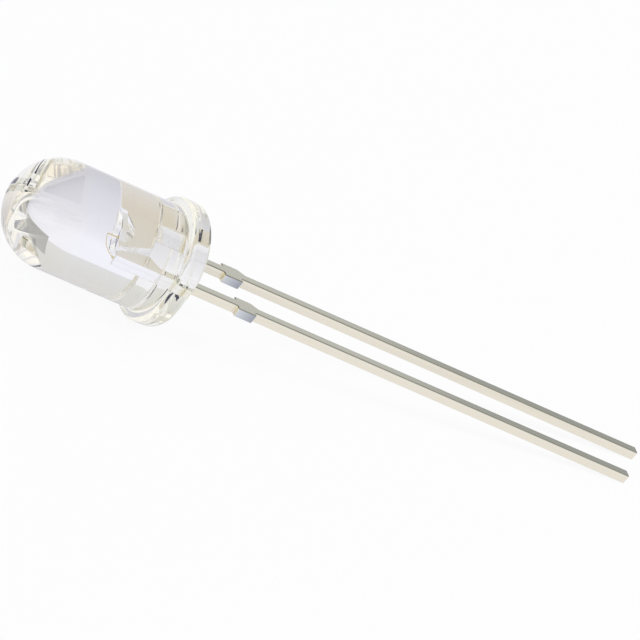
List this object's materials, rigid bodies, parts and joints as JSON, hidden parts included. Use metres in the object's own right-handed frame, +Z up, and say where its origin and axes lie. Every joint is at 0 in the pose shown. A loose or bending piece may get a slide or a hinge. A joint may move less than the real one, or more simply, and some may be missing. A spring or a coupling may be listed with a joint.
{
  "type": "photodiode",
  "caption": "Clear domed epoxy package with a flange and two square leads, lying on its side, that turns light into a current.",
  "frame": {"origin": "centre of the flange's flat base, where it seats on a board, on the optical axis", "axes": "+X points along the part towards the dome, in the level direction, as it lies on a table; +Y towards the short lead and the flat on the flange; +Z up from the table. The optical axis climbs 5.84 degrees above +X, because the part rests on its flange and on the tips of its leads, and the part is rolled 3.23 degrees so that both tips touch"},
  "size_m": [0.0352, 0.0057, 0.006],
  "materials": {
    "clear_epoxy": "gloss",
    "plated_lead_frame": "satin",
    "silicon_chip": "gloss",
    "silver_adhesive": "matte",
    "gold_wire": "polished"
  },
  "bodies": {
    "root": {"epoxy_body": "clear_epoxy", "anvil_lead": "plated_lead_frame", "post_lead": "plated_lead_frame", "photodiode_chip": "silicon_chip", "die_attach": "silver_adhesive", "bond_wire": "gold_wire"}
  },
  "joints": []
}
